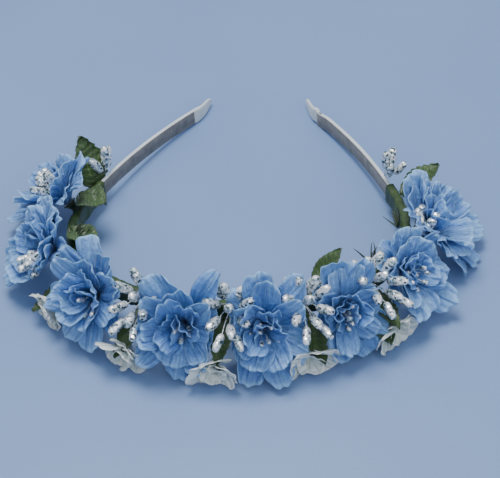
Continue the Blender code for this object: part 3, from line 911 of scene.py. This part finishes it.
# Petals in the outer ring, then: length, width, opening angle, pleats, beads, how much longer
# the lower petals are, and how far the foot is moved (along the band, outwards, up; in mm).
LOOKS = {
    1: (10, (24 * MM, 11 * MM, 1.50, 1.6, LARGE, 0.14, (0, 0, 0))),
    2: (9, (23 * MM, 12 * MM, 1.45, 1.2, FALLEN, 0.0, (0, 0, -1))),
    3: (8, (24 * MM, 12 * MM, 1.50, 1.2, SMALL, -0.08, (0, 0.4, -0.8))),
    4: (9, (25 * MM, 12 * MM, 1.55, 1.2, SMALL, -0.14, (1, 1.2, -2.0))),
    5: (9, (24 * MM, 12 * MM, 1.55, 1.4, SMALL, -0.06, (-2.5, 0.5, -2.0))),
    6: (8, (23 * MM, 11 * MM, 1.50, 1.4, SMALL, -0.05, (-1, 0.4, -1.8))),
    7: (8, (21 * MM, 11 * MM, 1.50, 2.0, SMALL, 0.10, (0, -0.5, -1))),
    8: (11, (26 * MM, 12 * MM, 1.50, 2.2, FRONTAL, 0.0, (-2, -0.5, -4))),
}
SPOTS[2].hang = unit(0.9 * SPOTS[2].side - 0.4 * SPOTS[2].rise)
SPOTS[8].hang = unit(-0.7 * SPOTS[8].side - 0.75 * SPOTS[8].out + 0.55 * UP)
for n, (count, sizes) in LOOKS.items():
    build_blossom(n, SPOTS[n], count, sizes)
for n in range(1, 6):
    build_white(n, SPOTS[n + 1], SPOTS[n + 2])
# Leaves: teeth, how much wider than the bare blade, and how far the tip is swung, in mm.
LEAVES = {
    1: (9, 1.2, (0, 0, 0)), 2: (0, 1.2, (0, 0, 0)), 3: (0, 1.1, (0, 0, 2)),
    4: (9, 1.5, (8, 0, 3)), 5: (8, 1.3, (-2, 0, 1)), 6: (9, 1.6, (-2, -2, 3)),
    7: (8, 1.3, (0, 0, 3)),
}
for n, (teeth, wide, swing) in LEAVES.items():
    build_leaf(n, teeth, LEAF, wide, swing)

# Beads from the top of the band down its outer side, in staggered rows.
COLUMN = [
    (-2.4, 2.5, 9.5, -0.35, 0.1, 1.0, 1.15), (1.6, 5.0, 10.5, 0.45, 0.2, 0.9, 1.20),
    (4.2, 8.0, 10.0, 0.50, 0.3, 0.7, 1.10), (-3.9, 7.5, 10.5, -0.50, 0.5, 0.7, 1.15),
    (-0.4, 9.5, 10.5, 0.15, 0.6, 0.7, 1.10), (3.6, 12.5, 9.5, 0.50, 0.8, 0.3, 1.05),
    (-3.4, 12.5, 9.0, -0.45, 0.9, 0.2, 1.05), (0.6, 15.0, 8.0, 0.20, 1.0, 0.1, 1.00),
    (-2.2, 18.0, 6.0, -0.30, 1.0, -0.2, 0.95), (2.9, 18.5, 6.0, 0.40, 1.0, -0.2, 0.90),
    (4.6, 4.0, 9.5, 0.7, 0.1, 0.7, 0.85), (-0.6, 5.5, 13.0, -0.1, 0.2, 1.0, 1.00),
]
END = [
    (-1.9, 1.2, 6.0, -0.45, 0.1, 1.0, 1.20), (1.8, 2.2, 6.5, 0.4, 0.2, 0.9, 1.20),
    (0.4, 4.4, 5.0, 0.1, 0.6, 0.7, 0.90), (-0.2, 0.6, 9.0, -0.1, 0.0, 1.0, 1.15),
]
for n, (a, b) in {2: (3, 4), 3: (4, 5), 4: (5, 6), 5: (6, 7)}.items():
    out = unit(SPOTS[a].out + SPOTS[b].out)
    build_pick(n, out, np.cross(UP, out), COLUMN)
for n, a in ((1, 1), (6, 8)):
    out = SPOTS[a].out
    build_pick(n, out, np.cross(UP, out), END)

build_under_leaf("under_leaf_1", SPOTS[3], SPOTS[4], -3)
build_under_leaf("under_leaf_2", SPOTS[5], SPOTS[6], 2)
build_under_leaf("under_leaf_3", SPOTS[2], SPOTS[3], -2)
build_under_leaf("under_leaf_4", SPOTS[6], SPOTS[7], -7, 14 * MM)

# Needle tufts bound in under the tape: beside which blossom, and where their tips point.
for n, (near, at, way, count, length) in enumerate((
        (8, (2.5, -9, 3), (-0.1, 0.8, 0.5), 9, 10 * MM), (7, (-6, -8, 5), (-0.1, 0.5, 0.7), 9, 11 * MM),
        (5, (2, -7, 6), (-0.5, 0.3, 0.9), 8, 9 * MM), (2, (-2, -8, 3), (0.6, 0.4, 0.6), 7, 10 * MM))):
    spot = SPOTS[near]
    base = spot.centre + (at[0] * spot.side + at[1] * spot.out + at[2] * UP) * MM
    build_sprig(f"needles_{n + 1}", base, np.array(way), count, length, 200 + n)

build_headband()
build_stage()
build_camera()
